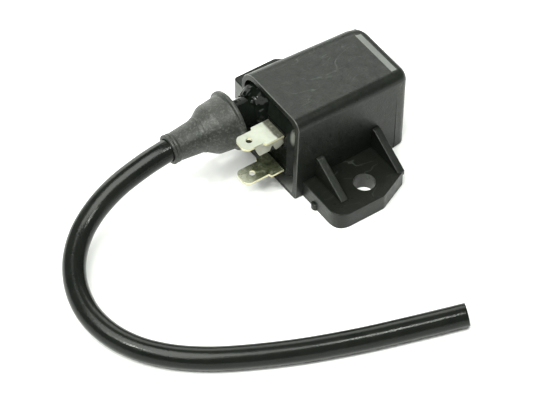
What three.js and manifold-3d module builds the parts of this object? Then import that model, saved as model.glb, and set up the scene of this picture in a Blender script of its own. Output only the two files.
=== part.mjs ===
// A potted ignition coil with two blade terminals, a high-tension lead and two mounting ears.
// Millimetres, +Z up. The origin lies midway between the two screw holes, on the mounting plane
// under the body and ears. X points to the near ear and Y to the body's closed end. The pieces
// are laid out with y = 0 at the body's open end, and the whole coil is then moved to the origin.
import * as THREE from 'three';
import { mergeVertices } from 'three/addons/utils/BufferGeometryUtils.js';
import Module from 'manifold-3d';

const wasm = await Module();
wasm.setup();

// ---------- driving dimensions ----------
const GAP = 0.2; // clearance between a piece and the neighbour it is cut for

const BODY_LENGTH = 40.7;
const BODY_WIDTH = 29.1; // at the open end
const BODY_HEIGHT = 31.4; // at the open end
const TOP_DROP = 1.15; // the top falls by this much towards the closed end
const NEAR_DRAFT = 0.45; // the near side comes in by this much towards the closed end
const FAR_DRAFT = 1.1;
const FRONT_LEAN = 0.75; // the foot of the open end stands out past its top edge
const WALL = 1.55;
const BACK_WALL = 2.0;
const NEAR_TOP_RADIUS = 3.15;
const FAR_TOP_RADIUS = 6.3;
const FLOOR_RADIUS = 0.7;
const BACK_RADIUS = 2.85;
const TAPER_START = 35.85; // the walls turn in a little from here to the closed end's rounding
const TAPER_DEPTH = 0.25;

const NEAR_EAR = {
  side: 1,
  thickness: 6.0,
  front: 2.15,
  reach: 17.7,
  cornerRadius: 4.7,
  sideEnd: 19.0,
  rear: 29.5,
  rearReach: 12.9,
  ribReach: 13.2,
  frontRib: 7.85,
  rearRib: 28.45,
  holeY: 17.2,
};
// The far ear is thicker, sits closer to the closed end and has a sharper front corner.
const FAR_EAR = {
  side: -1,
  thickness: 8.4,
  front: 8.0,
  reach: 16.4,
  cornerRadius: 1.3,
  sideEnd: 23.2,
  rear: 30.4,
  rearReach: 11.6,
  ribReach: 11.4,
  frontRib: 10.1,
  rearRib: 29.35,
  holeY: 19.6,
};
const HOLE_RADIUS = 3.4; // clears an M6 screw
const HOLE_REACH = 10.0; // from the body's side to the hole's axis

const RIB_THICKNESS = 2.5;
const RIB_HEIGHT = 13.7;

const RESIN_FRONT = 5.6; // the potting surface lies this far inside the open end
const POCKET_FRONT = 8.6;
const POCKET_RADIUS = 11.3;

const BLADE_THICKNESS = 0.8;
const UPPER_BLADE = { x: 6.0, z: 24.25, width: 6.2, shoulder: 8.1, tip: -14.9, hole: -11.5, step: -8.6 };
const LOWER_BLADE = { x: 6.1, z: 9.85, width: 6.3, shoulder: 8.3, tip: -14.6, hole: -10.4, step: -6.6 };
const BLADE_HOLE_RADIUS = 0.95;
const BLADE_TAIL_Y = 7.8;

const TOWER_X = -6.65;
const TOWER_Z = 21.3;
const TOWER_BACK = 7.8;
const TOWER_BASE_RADIUS = 5.8;
const TOWER_NECK_RADIUS = 4.8; // between the base and the bead that holds the boot
const LEAD_RADIUS = 3.5;
const LEAD_BORE_RADIUS = 3.8;
const LEAD_START_Y = -5.6;

const COIL_Z = 15.2;
const COIL_FRONT = 10.8;
const COIL_BACK = 37.0;
const CORE_SIDE = 8.0;
const CORE_PACKS = 6;
const WINDING_SECTIONS = 6;

// ---------- materials ----------
const LOOKS = {
  casing: [0x2b2d2a, 0.55, 0.0],
  resin: [0x0c0d0d, 0.12, 0.0],
  carrier: [0x121413, 0.25, 0.0],
  tin: [0xcfd2c4, 0.35, 1.0],
  tarnish: [0x85876a, 0.45, 1.0],
  tower: [0x0f1010, 0.2, 0.0],
  rubber: [0x3a3b38, 0.8, 0.0],
  jacket: [0x141514, 0.3, 0.0],
  steel: [0x8a8d90, 0.4, 1.0],
  bobbin: [0xd9d4c0, 0.6, 0.0],
  copper: [0xb0622c, 0.35, 1.0],
  tape: [0xd6b34a, 0.5, 0.0],
  brass: [0xc2a04c, 0.35, 1.0],
};

function material(look) {
  const [color, roughness, metalness] = LOOKS[look];
  return new THREE.MeshStandardMaterial({ color, roughness, metalness });
}

// ---------- solids ----------
// A closed geometry as a solid that can be cut and joined.
function solid(geometry) {
  const bare = geometry.clone();
  bare.deleteAttribute('normal');
  bare.deleteAttribute('uv');
  const merged = mergeVertices(bare, 1e-4);
  return new wasm.Manifold(
    new wasm.Mesh({
      numProp: 3,
      vertProperties: merged.attributes.position.array,
      triVerts: new Uint32Array(merged.index.array),
    }),
  );
}

// A solid back as a geometry.
function geometryOf(body) {
  const mesh = body.getMesh();
  const geometry = new THREE.BufferGeometry();
  geometry.setAttribute('position', new THREE.BufferAttribute(mesh.vertProperties, 3));
  geometry.setIndex(new THREE.BufferAttribute(mesh.triVerts, 1));
  geometry.computeVertexNormals();
  return geometry;
}

const coil = new THREE.Group();
coil.position.y = -(NEAR_EAR.holeY + FAR_EAR.holeY) / 2;

function add(name, look, geometry) {
  const mesh = new THREE.Mesh(geometry, material(look));
  mesh.name = name;
  coil.add(mesh);
}

function box(minX, maxX, minY, maxY, minZ, maxZ) {
  const geometry = new THREE.BoxGeometry(maxX - minX, maxY - minY, maxZ - minZ);
  geometry.translate((minX + maxX) / 2, (minY + maxY) / 2, (minZ + maxZ) / 2);
  return geometry;
}

function shapeOf(points) {
  return new THREE.Shape(points.map(([x, y]) => new THREE.Vector2(x, y)));
}

// A flat outline in x and y, raised from one height to another.
function slab(shape, minZ, maxZ, bevel = 0) {
  const geometry = new THREE.ExtrudeGeometry(shape, {
    depth: maxZ - minZ - 2 * bevel,
    curveSegments: 8,
    bevelEnabled: bevel > 0,
    bevelThickness: bevel,
    bevelSize: bevel,
    bevelOffset: -bevel,
    bevelSegments: 2,
  });
  geometry.translate(0, 0, minZ + bevel);
  return geometry;
}

// A flat outline in x and z, with its thickness along Y.
function upright(shape, minY, maxY, bevel = 0) {
  const geometry = slab(shape, 0, maxY - minY, bevel);
  geometry.rotateX(Math.PI / 2);
  geometry.translate(0, maxY, 0);
  return geometry;
}

// A flat outline in y and z, with its thickness along X.
function sidePlate(shape, minX, maxX, bevel = 0) {
  const geometry = slab(shape, 0, maxX - minX, bevel);
  geometry.rotateY(Math.PI / 2);
  geometry.rotateX(Math.PI / 2);
  geometry.translate(minX, 0, 0);
  return geometry;
}

// A body turned about an axis along Y. The profile is a list of [radius, y].
function turned(profile, x, z, segments) {
  const points = profile.map(([radius, y]) => new THREE.Vector2(radius, y));
  const geometry = new THREE.LatheGeometry(points, segments);
  geometry.translate(x, 0, z);
  return geometry;
}

// A sleeve between two radii.
function sleeve(inner, outer, minY, maxY, x, z, segments) {
  const profile = [
    [inner, minY],
    [outer, minY],
    [outer, maxY],
    [inner, maxY],
    [inner, minY],
  ];
  return turned(profile, x, z, segments);
}

// A plain rod along Y.
function rod(radius, minY, maxY, x, z, segments) {
  const profile = [
    [0, minY],
    [radius, minY],
    [radius, maxY],
    [0, maxY],
  ];
  return turned(profile, x, z, segments);
}

// A round bar along a smooth line through the given points.
function bar(points, radius, steps, sides) {
  const section = new THREE.Shape();
  for (let i = 0; i < sides; i += 1) {
    const angle = (2 * Math.PI * (i + 0.5)) / sides;
    const x = radius * Math.cos(angle);
    const y = radius * Math.sin(angle);
    if (i === 0) section.moveTo(x, y);
    else section.lineTo(x, y);
  }
  section.closePath();
  const path = new THREE.CatmullRomCurve3(
    points.map(([x, y, z]) => new THREE.Vector3(x, y, z)),
    false,
    'centripetal',
  );
  return new THREE.ExtrudeGeometry(section, { steps, bevelEnabled: false, extrudePath: path });
}

// ---------- the body's rounded, tapering section ----------
function halfWidth(y, draft) {
  return BODY_WIDTH / 2 - (draft * Math.max(y, 0)) / BODY_LENGTH;
}

function topHeight(y) {
  return BODY_HEIGHT - (TOP_DROP * Math.max(y, 0)) / BODY_LENGTH;
}

// One ring of the section at y: drawn in by an inset, its foot leaning out by a lean.
function ring(y, inset, cornerRadii, { floor = inset, lean = 0 } = {}) {
  const near = halfWidth(y, NEAR_DRAFT) - inset;
  const far = inset - halfWidth(y, FAR_DRAFT);
  const high = topHeight(y) - inset;
  const corners = [
    [near, floor, 1, -1, cornerRadii.floor, -0.5],
    [near, high, 1, 1, cornerRadii.nearTop, 0],
    [far, high, -1, 1, cornerRadii.farTop, 0.5],
    [far, floor, -1, -1, cornerRadii.floor, 1],
  ];
  const points = [];
  for (const [x, z, signX, signZ, radius, start] of corners) {
    const steps = radius > 1.5 ? 7 : 3;
    for (let i = 0; i <= steps; i += 1) {
      const angle = Math.PI * (start + (0.5 * i) / steps);
      const pointX = x - signX * radius + radius * Math.cos(angle);
      const pointZ = z - signZ * radius + radius * Math.sin(angle);
      const pointY = y - lean * (1 - pointZ / BODY_HEIGHT);
      points.push(new THREE.Vector3(pointX, pointY, pointZ));
    }
  }
  return points;
}

// A closed skin over a row of rings that all have the same number of points.
function loft(rings) {
  const count = rings[0].length;
  const positions = [];
  const indices = [];
  for (const points of rings) {
    for (const point of points) positions.push(point.x, point.y, point.z);
  }
  for (let k = 0; k + 1 < rings.length; k += 1) {
    for (let j = 0; j < count; j += 1) {
      const a = k * count + j;
      const b = k * count + ((j + 1) % count);
      const c = b + count;
      const d = a + count;
      indices.push(a, d, c, a, c, b);
    }
  }
  for (const last of [false, true]) {
    const points = last ? rings[rings.length - 1] : rings[0];
    const offset = last ? (rings.length - 1) * count : 0;
    const centre = new THREE.Vector3();
    for (const point of points) centre.addScaledVector(point, 1 / count);
    const hub = positions.length / 3;
    positions.push(centre.x, centre.y, centre.z);
    for (let j = 0; j < count; j += 1) {
      const a = offset + j;
      const b = offset + ((j + 1) % count);
      if (last) indices.push(hub, b, a);
      else indices.push(hub, a, b);
    }
  }
  const geometry = new THREE.BufferGeometry();
  geometry.setAttribute('position', new THREE.Float32BufferAttribute(positions, 3));
  geometry.setIndex(indices);
  geometry.computeVertexNormals();
  return geometry;
}

// The body's outer skin: its open end's edge is broken, and its closed end is rounded all round.
function outerSkin() {
  const radiiAt = (inset) => ({
    floor: FLOOR_RADIUS,
    nearTop: NEAR_TOP_RADIUS - inset * 0.4,
    farTop: FAR_TOP_RADIUS - inset * 0.4,
  });
  const edge = 0.35;
  const rings = [
    ring(0, edge, radiiAt(0), { lean: FRONT_LEAN }),
    ring(edge, 0, radiiAt(0), { lean: FRONT_LEAN }),
    ring(TAPER_START, 0, radiiAt(0)),
  ];
  const steps = 6;
  for (let i = 0; i <= steps; i += 1) {
    const angle = (Math.PI / 2) * (i / steps);
    const inset = TAPER_DEPTH + BACK_RADIUS * (1 - Math.cos(angle));
    const y = BODY_LENGTH - BACK_RADIUS + BACK_RADIUS * Math.sin(angle);
    rings.push(ring(y, inset, radiiAt(inset), { floor: 0 }));
  }
  return loft(rings);
}

// The space inside the walls, drawn in by a further inset.
function innerSpace(minY, maxY, inset) {
  const radii = {
    floor: FLOOR_RADIUS,
    nearTop: NEAR_TOP_RADIUS + 0.6 - inset,
    farTop: FAR_TOP_RADIUS - WALL - inset,
  };
  return loft([ring(minY, WALL + inset, radii), ring(maxY, WALL + inset, radii)]);
}

// ---------- mounting ears ----------
const wallX = BODY_WIDTH / 2;

function earSlab(ear) {
  const root = wallX - 1.2;
  const edge = wallX + ear.reach;
  const centreX = edge - ear.cornerRadius;
  const centreY = ear.front + ear.cornerRadius;
  const outline = [[root, ear.front]];
  const steps = 8;
  for (let i = 0; i <= steps; i += 1) {
    const angle = (Math.PI / 2) * (i / steps - 1);
    outline.push([
      centreX + ear.cornerRadius * Math.cos(angle),
      centreY + ear.cornerRadius * Math.sin(angle),
    ]);
  }
  outline.push([edge, ear.sideEnd], [wallX + ear.rearReach, ear.rear], [root, ear.rear]);
  const placed = outline.map(([x, y]) => [ear.side * x, y]);
  return slab(shapeOf(placed), 0, ear.thickness, 0.25);
}

function gusset(ear, middleY) {
  const foot = ear.thickness - 1.5;
  const outline = [
    [wallX - 1.2, foot],
    [wallX + ear.ribReach, foot],
    [wallX + ear.ribReach, ear.thickness + 0.3],
    [wallX + 0.8, RIB_HEIGHT],
    [wallX - 1.2, RIB_HEIGHT],
  ];
  const placed = outline.map(([x, z]) => [ear.side * x, z]);
  return upright(shapeOf(placed), middleY - RIB_THICKNESS / 2, middleY + RIB_THICKNESS / 2, 0.4);
}

function holeCutter(ear) {
  const height = ear.thickness + 4;
  const geometry = new THREE.CylinderGeometry(HOLE_RADIUS, HOLE_RADIUS, height, 40);
  geometry.rotateX(Math.PI / 2);
  geometry.translate(ear.side * (wallX + HOLE_REACH), ear.holeY, ear.thickness / 2);
  return geometry;
}

// The small half-round nub that moulding leaves on the near ear's front face.
function mouldingNub() {
  const geometry = new THREE.CylinderGeometry(1.2, 1.35, 2.4, 24);
  geometry.rotateX(Math.PI / 2);
  geometry.translate(wallX + 5.9, NEAR_EAR.front + 0.3, 1.2);
  return geometry;
}

function casing() {
  const ears = [NEAR_EAR, FAR_EAR];
  let body = solid(outerSkin());
  for (const ear of ears) {
    body = body.add(solid(earSlab(ear)));
    body = body.add(solid(gusset(ear, ear.frontRib)));
    body = body.add(solid(gusset(ear, ear.rearRib)));
  }
  body = body.add(solid(mouldingNub()));
  body = body.subtract(solid(innerSpace(-2, BODY_LENGTH - BACK_WALL, 0)));
  for (const ear of ears) body = body.subtract(solid(holeCutter(ear)));
  return geometryOf(body);
}

add('casing', 'casing', casing());

// ---------- potting resin ----------
function bladeSlot(blade, minY, maxY) {
  const halfX = blade.shoulder / 2 + GAP;
  const halfZ = BLADE_THICKNESS / 2 + GAP;
  return box(blade.x - halfX, blade.x + halfX, minY, maxY, blade.z - halfZ, blade.z + halfZ);
}

// The round hole that the high-tension outlet stands in.
function towerRoom() {
  return rod(TOWER_BASE_RADIUS + GAP, -4, POCKET_FRONT + 0.5, TOWER_X, TOWER_Z, 40);
}

function pottingResin() {
  let body = solid(innerSpace(RESIN_FRONT, BODY_LENGTH - BACK_WALL - GAP, GAP));
  body = body.subtract(solid(rod(POCKET_RADIUS, POCKET_FRONT, BODY_LENGTH, 0, COIL_Z, 48)));
  body = body.subtract(solid(towerRoom()));
  body = body.subtract(solid(bladeSlot(UPPER_BLADE, 0, POCKET_FRONT + 0.5)));
  body = body.subtract(solid(bladeSlot(LOWER_BLADE, 0, POCKET_FRONT + 0.5)));
  return geometryOf(body);
}

add('potting_resin', 'resin', pottingResin());

// ---------- terminal carrier ----------
// The front flange of the coil former. It holds both blades and stands on the resin.
const CARRIER_FACE = -1.6;
const CARRIER_FLOOR = 8.4;
const WEB_LENGTH = 11.2; // the upper blade's folded web, from front to back
const WEB_DEPTH = 4.4;

function terminalCarrier() {
  const back = RESIN_FRONT - GAP;
  const outline = [
    [-13.5, back],
    [-13.5, 2.7],
    [-10, 1.7],
    [-1.0, 0.6],
    [1.0, CARRIER_FACE],
    [11.0, CARRIER_FACE],
    [13.5, 0.6],
    [13.5, back],
  ];
  const sloped = [
    [-4, 25.8],
    [CARRIER_FACE, 25.8],
    [1.3, 30],
    [1.3, 34],
    [-4, 34],
  ];
  const webRoom = box(
    UPPER_BLADE.x + UPPER_BLADE.width / 2 - BLADE_THICKNESS - GAP,
    UPPER_BLADE.x + UPPER_BLADE.width / 2 + GAP,
    -4,
    -0.3,
    UPPER_BLADE.z - WEB_DEPTH - 1.2,
    UPPER_BLADE.z,
  );
  let body = solid(slab(shapeOf(outline), CARRIER_FLOOR, BODY_HEIGHT - WALL));
  body = body.intersect(solid(innerSpace(-3, RESIN_FRONT + 1, GAP)));
  body = body.subtract(solid(sidePlate(shapeOf(sloped), -15, 15)));
  body = body.subtract(solid(towerRoom()));
  body = body.subtract(solid(bladeSlot(UPPER_BLADE, -4, 8)));
  body = body.subtract(solid(bladeSlot(LOWER_BLADE, -4, 8)));
  body = body.subtract(solid(webRoom));
  return geometryOf(body);
}

add('terminal_carrier', 'carrier', terminalCarrier());

// ---------- blade terminals ----------
function bladePlate(blade) {
  const half = blade.width / 2;
  const wide = blade.shoulder / 2;
  const side = [
    [half - 1.4, blade.tip],
    [half, blade.tip + 1.2],
    [half, blade.step],
    [wide, blade.step + 0.4],
    [wide, 3.0],
    [half, 3.4],
    [half, BLADE_TAIL_Y],
  ];
  const mirrored = side.map(([x, y]) => [-x, y]).reverse();
  const shape = shapeOf([...side, ...mirrored].map(([x, y]) => [x + blade.x, y]));
  const hole = new THREE.Path();
  hole.absarc(blade.x, blade.hole, BLADE_HOLE_RADIUS, 0, 2 * Math.PI, true);
  shape.holes.push(hole);
  return slab(shape, blade.z - BLADE_THICKNESS / 2, blade.z + BLADE_THICKNESS / 2);
}

// The upper blade's near edge is folded down into a web with a notch and a round lobe.
function upperTerminal() {
  const top = UPPER_BLADE.z;
  const back = -0.65;
  const front = back - WEB_LENGTH;
  const notch = back - 4.9;
  const web = sidePlate(
    shapeOf([
      [front, top],
      [front + 2.0, top - WEB_DEPTH],
      [notch - 0.7, top - WEB_DEPTH],
      [notch, top - WEB_DEPTH + 1.6],
      [notch + 0.6, top - WEB_DEPTH + 1.6],
      [notch + 1.5, top - WEB_DEPTH - 0.9],
      [back - 1.2, top - WEB_DEPTH],
      [back - 0.3, top - WEB_DEPTH + 0.8],
      [back, top - WEB_DEPTH + 1.8],
      [back - 1.1, top],
    ]),
    UPPER_BLADE.x + UPPER_BLADE.width / 2 - BLADE_THICKNESS,
    UPPER_BLADE.x + UPPER_BLADE.width / 2,
  );
  return geometryOf(solid(bladePlate(UPPER_BLADE)).add(solid(web)));
}

add('terminal_upper', 'tin', upperTerminal());
add('terminal_lower', 'tarnish', bladePlate(LOWER_BLADE));

// ---------- high-tension outlet ----------
const towerProfile = [
  [1.5, TOWER_BACK],
  [1.5, -0.6],
  [LEAD_BORE_RADIUS, -0.6],
  [LEAD_BORE_RADIUS, -16.0],
  [5.9, -16.0],
  [6.4, -15.4],
  [6.4, -12.6],
  [TOWER_NECK_RADIUS, -11.0],
  [TOWER_NECK_RADIUS, -2.0],
  [TOWER_BASE_RADIUS, -1.4],
  [TOWER_BASE_RADIUS, TOWER_BACK],
  [1.5, TOWER_BACK],
];
add('ht_tower', 'tower', turned(towerProfile, TOWER_X, TOWER_Z, 40));

const spikeProfile = [
  [0, -5.2],
  [0.7, -3.8],
  [0.9, -1.8],
  [3.0, -1.8],
  [3.0, -0.9],
  [1.2, -0.9],
  [1.2, 9.4],
  [0, 9.4],
];
add('ht_contact_spike', 'brass', turned(spikeProfile, TOWER_X, TOWER_Z, 20));

// The rubber boot's flange, bell, cone and sleeve.
const bootProfile = [
  [LEAD_BORE_RADIUS, -31.4],
  [4.5, -31.4],
  [4.7, -31.2],
  [4.7, -30.3],
  [4.45, -30.0],
  [5.4, -20.6],
  [7.75, -17.0],
  [8.4, -10.9],
  [9.45, -10.6],
  [9.45, -9.45],
  [6.8, -9.45],
  [6.8, -16.3],
  [LEAD_BORE_RADIUS, -19.5],
  [LEAD_BORE_RADIUS, -31.4],
];
add('ht_boot', 'rubber', turned(bootProfile, TOWER_X, TOWER_Z, 40));

// The lead leaves the boot level, sinks to the surface the coil stands on and curls round to
// its cut end.
const LEAD_REST_Z = 3.55;
const LEAD_ROUTE = [
  [TOWER_X, LEAD_START_Y, TOWER_Z],
  [TOWER_X, -18, TOWER_Z],
  [TOWER_X, -31.4, TOWER_Z],
  [-6.8, -35.8, 20.5],
  [-7.1, -40.2, 19.1],
  [-7.2, -48.6, 16.0],
  [-5.8, -56.8, 12.6],
  [-2.1, -64.4, 9.8],
  [4.0, -70.6, 7.6],
  [11.8, -74.6, 5.9],
  [20.6, -76.1, 4.6],
  [29.4, -74.8, 3.8],
  [37.6, -71.2, LEAD_REST_Z],
  [44.7, -65.7, LEAD_REST_Z],
  [50.6, -58.9, LEAD_REST_Z],
  [55.5, -51.3, LEAD_REST_Z],
  [63.6, -35.3, LEAD_REST_Z],
  [70.3, -18.5, LEAD_REST_Z],
  [75.9, -1.5, LEAD_REST_Z],
  [80.3, 12.8, LEAD_REST_Z],
];
add('ht_lead', 'jacket', bar(LEAD_ROUTE, LEAD_RADIUS, 36, 12));

// ---------- coil inside the resin ----------
const packPitch = CORE_SIDE / CORE_PACKS;
for (let i = 0; i < CORE_PACKS; i += 1) {
  const low = COIL_Z - CORE_SIDE / 2 + i * packPitch;
  const high = low + packPitch - 0.1;
  const half = CORE_SIDE / 2;
  const pack = box(-half, half, COIL_FRONT - 0.4, COIL_BACK + 0.2, low, high);
  add(`core_pack_${i + 1}`, 'steel', pack);
}

function primaryBobbin() {
  const profile = [
    [0, COIL_FRONT],
    [8.6, COIL_FRONT],
    [8.6, COIL_FRONT + 1],
    [6.5, COIL_FRONT + 1],
    [6.5, COIL_BACK - 1],
    [8.6, COIL_BACK - 1],
    [8.6, COIL_BACK],
    [0, COIL_BACK],
  ];
  const bore = CORE_SIDE / 2 + GAP;
  const spool = solid(turned(profile, 0, COIL_Z, 32));
  const cut = solid(box(-bore, bore, 0, BODY_LENGTH, COIL_Z - bore, COIL_Z + bore));
  return geometryOf(spool.subtract(cut));
}

add('primary_bobbin', 'bobbin', primaryBobbin());

const windFront = COIL_FRONT + 1.2;
const windBack = COIL_BACK - 1.2;
add('primary_winding', 'copper', sleeve(6.65, 7.8, windFront, windBack, 0, COIL_Z, 32));
add('insulation_sleeve', 'tape', sleeve(7.95, 8.35, windFront, windBack, 0, COIL_Z, 32));

// The secondary spool has a wall between each pair of winding sections.
const FLANGE = 0.8;
const sectionPitch = (COIL_BACK - COIL_FRONT - FLANGE) / WINDING_SECTIONS;

function secondaryBobbin() {
  const profile = [[8.75, COIL_FRONT]];
  for (let i = 0; i <= WINDING_SECTIONS; i += 1) {
    const y = COIL_FRONT + i * sectionPitch;
    profile.push([10.6, y], [10.6, y + FLANGE]);
    if (i < WINDING_SECTIONS) profile.push([9.3, y + FLANGE], [9.3, y + sectionPitch]);
  }
  profile.push([8.75, COIL_BACK], [8.75, COIL_FRONT]);
  return turned(profile, 0, COIL_Z, 40);
}

add('secondary_bobbin', 'bobbin', secondaryBobbin());

for (let i = 0; i < WINDING_SECTIONS; i += 1) {
  const y = COIL_FRONT + FLANGE + i * sectionPitch;
  const section = sleeve(9.42, 10.4, y + 0.15, y + sectionPitch - FLANGE - 0.15, 0, COIL_Z, 32);
  add(`secondary_winding_${i + 1}`, 'copper', section);
}

// ---------- wires between the windings and the terminals ----------
const wireY = (POCKET_FRONT + COIL_FRONT) / 2;
add(
  'primary_start_wire',
  'copper',
  bar([[6.1, wireY, 23.3], [4.8, wireY, 22.6], [3.6, wireY, 21.3]], 0.35, 6, 8),
);
add(
  'primary_end_wire',
  'copper',
  bar([[6.1, wireY, 10.9], [4.8, wireY, 11.1], [3.4, wireY, 11.9]], 0.35, 6, 8),
);
add(
  'ht_link_wire',
  'copper',
  bar([[-5.0, wireY, 20.0], [-4.6, wireY, 18.9], [-4.4, wireY, 17.4]], 0.3, 6, 8),
);
const returnY = COIL_BACK + 0.75;
add(
  'secondary_return_wire',
  'copper',
  bar([[0, returnY, 25.2], [0, returnY, 22.6], [0, returnY, 20.0]], 0.3, 6, 8),
);

const group = new THREE.Group();
group.add(coil);

export default group;
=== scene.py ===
# Ignition coil with a booted high-tension lead: detailed pieces, finishes, lights and camera.
# Lengths are millimetres, with Y counted from the body's open end. place() turns them into
# metres in the CAD part's frame.
import math

import bmesh
import bpy
from mathutils import Matrix, Vector, noise


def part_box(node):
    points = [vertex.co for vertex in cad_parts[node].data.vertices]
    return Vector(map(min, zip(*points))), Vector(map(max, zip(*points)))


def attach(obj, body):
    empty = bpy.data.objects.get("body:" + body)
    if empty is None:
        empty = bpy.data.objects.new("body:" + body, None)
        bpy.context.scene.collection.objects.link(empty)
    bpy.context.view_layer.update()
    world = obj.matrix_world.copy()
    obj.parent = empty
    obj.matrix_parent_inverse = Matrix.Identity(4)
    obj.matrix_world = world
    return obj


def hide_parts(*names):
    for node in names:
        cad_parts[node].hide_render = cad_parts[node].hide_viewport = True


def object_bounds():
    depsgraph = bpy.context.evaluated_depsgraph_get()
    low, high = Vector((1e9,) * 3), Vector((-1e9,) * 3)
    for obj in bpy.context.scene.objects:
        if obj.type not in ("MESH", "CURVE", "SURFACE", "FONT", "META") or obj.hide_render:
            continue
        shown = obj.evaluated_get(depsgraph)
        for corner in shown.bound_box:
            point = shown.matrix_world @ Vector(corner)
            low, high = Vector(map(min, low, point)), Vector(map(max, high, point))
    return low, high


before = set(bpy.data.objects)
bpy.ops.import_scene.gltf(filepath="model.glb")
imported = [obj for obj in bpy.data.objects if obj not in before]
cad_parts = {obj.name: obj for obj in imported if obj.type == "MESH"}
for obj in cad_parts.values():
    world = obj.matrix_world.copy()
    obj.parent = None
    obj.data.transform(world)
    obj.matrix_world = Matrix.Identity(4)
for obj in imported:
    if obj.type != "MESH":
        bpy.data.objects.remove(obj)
cad_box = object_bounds()

BODY_LENGTH = 40.7
OPEN_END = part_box("casing")[1][1] * 1000 - BODY_LENGTH  # the open end's place along Y


def place(x, y, z):
    return Vector((x, y + OPEN_END, z)) * 0.001


# ---------- camera ----------
CAMERA_ANGLES = (54.529, 48.224, 0.946)  # azimuth, elevation and roll in degrees
CAMERA_DISTANCE = 750.0
CAMERA_RIGHT = 1.7724
CAMERA_UP = -11.1885
LENS = 163.64
SENSOR_WIDTH = 36


def add_camera():
    azimuth, elevation, roll = (math.radians(angle) for angle in CAMERA_ANGLES)
    back = Vector(
        (
            math.sin(azimuth) * math.cos(elevation),
            -math.cos(azimuth) * math.cos(elevation),
            math.sin(elevation),
        )
    )
    level = Vector((math.cos(azimuth), math.sin(azimuth), 0))
    upright = back.cross(level)
    right = math.cos(roll) * level + math.sin(roll) * upright
    up = math.cos(roll) * upright - math.sin(roll) * level
    spot = CAMERA_DISTANCE * back + CAMERA_RIGHT * right + CAMERA_UP * up
    data = bpy.data.cameras.new("camera")
    data.lens = LENS
    data.sensor_width = SENSOR_WIDTH
    data.clip_start = 0.05
    data.clip_end = 20
    camera = bpy.data.objects.new("camera", data)
    turn = Matrix((right, up, back)).transposed()
    camera.matrix_world = Matrix.Translation(place(*spot)) @ turn.to_4x4()
    bpy.context.collection.objects.link(camera)
    bpy.context.scene.camera = camera


add_camera()


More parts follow.
